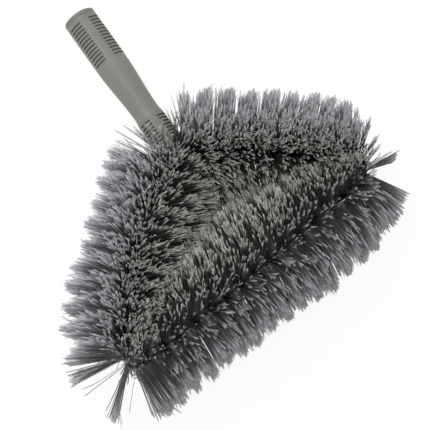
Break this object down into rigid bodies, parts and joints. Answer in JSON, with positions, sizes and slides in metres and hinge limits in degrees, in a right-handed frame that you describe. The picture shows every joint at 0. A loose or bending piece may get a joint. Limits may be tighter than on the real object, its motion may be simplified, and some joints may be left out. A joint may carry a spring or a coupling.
{
  "type": "cobweb brush",
  "caption": "Head of a cobweb brush: twisted-wire bristles bent into a rounded triangle on a moulded handle with a pole socket.",
  "frame": {"origin": "centre of the pole socket's mouth, on the handle's axis", "axes": "+Y out of the socket's mouth along the handle, +Z square to the plane of the bristle triangle, +X towards the right-hand corner seen from +Z"},
  "size_m": [0.3603, 0.3522, 0.1135],
  "materials": {
    "handle_plastic": "satin moulded grey-green",
    "rim_plastic": "satin moulded grey-green",
    "stem_wire": "galvanised",
    "ferrule": "crimped",
    "bristles": "charcoal filaments with paler split tips"
  },
  "bodies": {
    "root": {"handle_body": "handle_plastic", "socket_liner": "rim_plastic", "stem_ferrule": "ferrule", "wire_first": "stem_wire", "wire_second": "stem_wire", "bristles_right_upper": "bristles", "bristles_right_lower": "bristles", "bristles_right_corner": "bristles", "bristles_far_right": "bristles", "bristles_far_middle": "bristles", "bristles_far_left": "bristles", "bristles_left_corner": "bristles", "bristles_left_lower": "bristles", "bristles_left_upper": "bristles"}
  },
  "joints": []
}
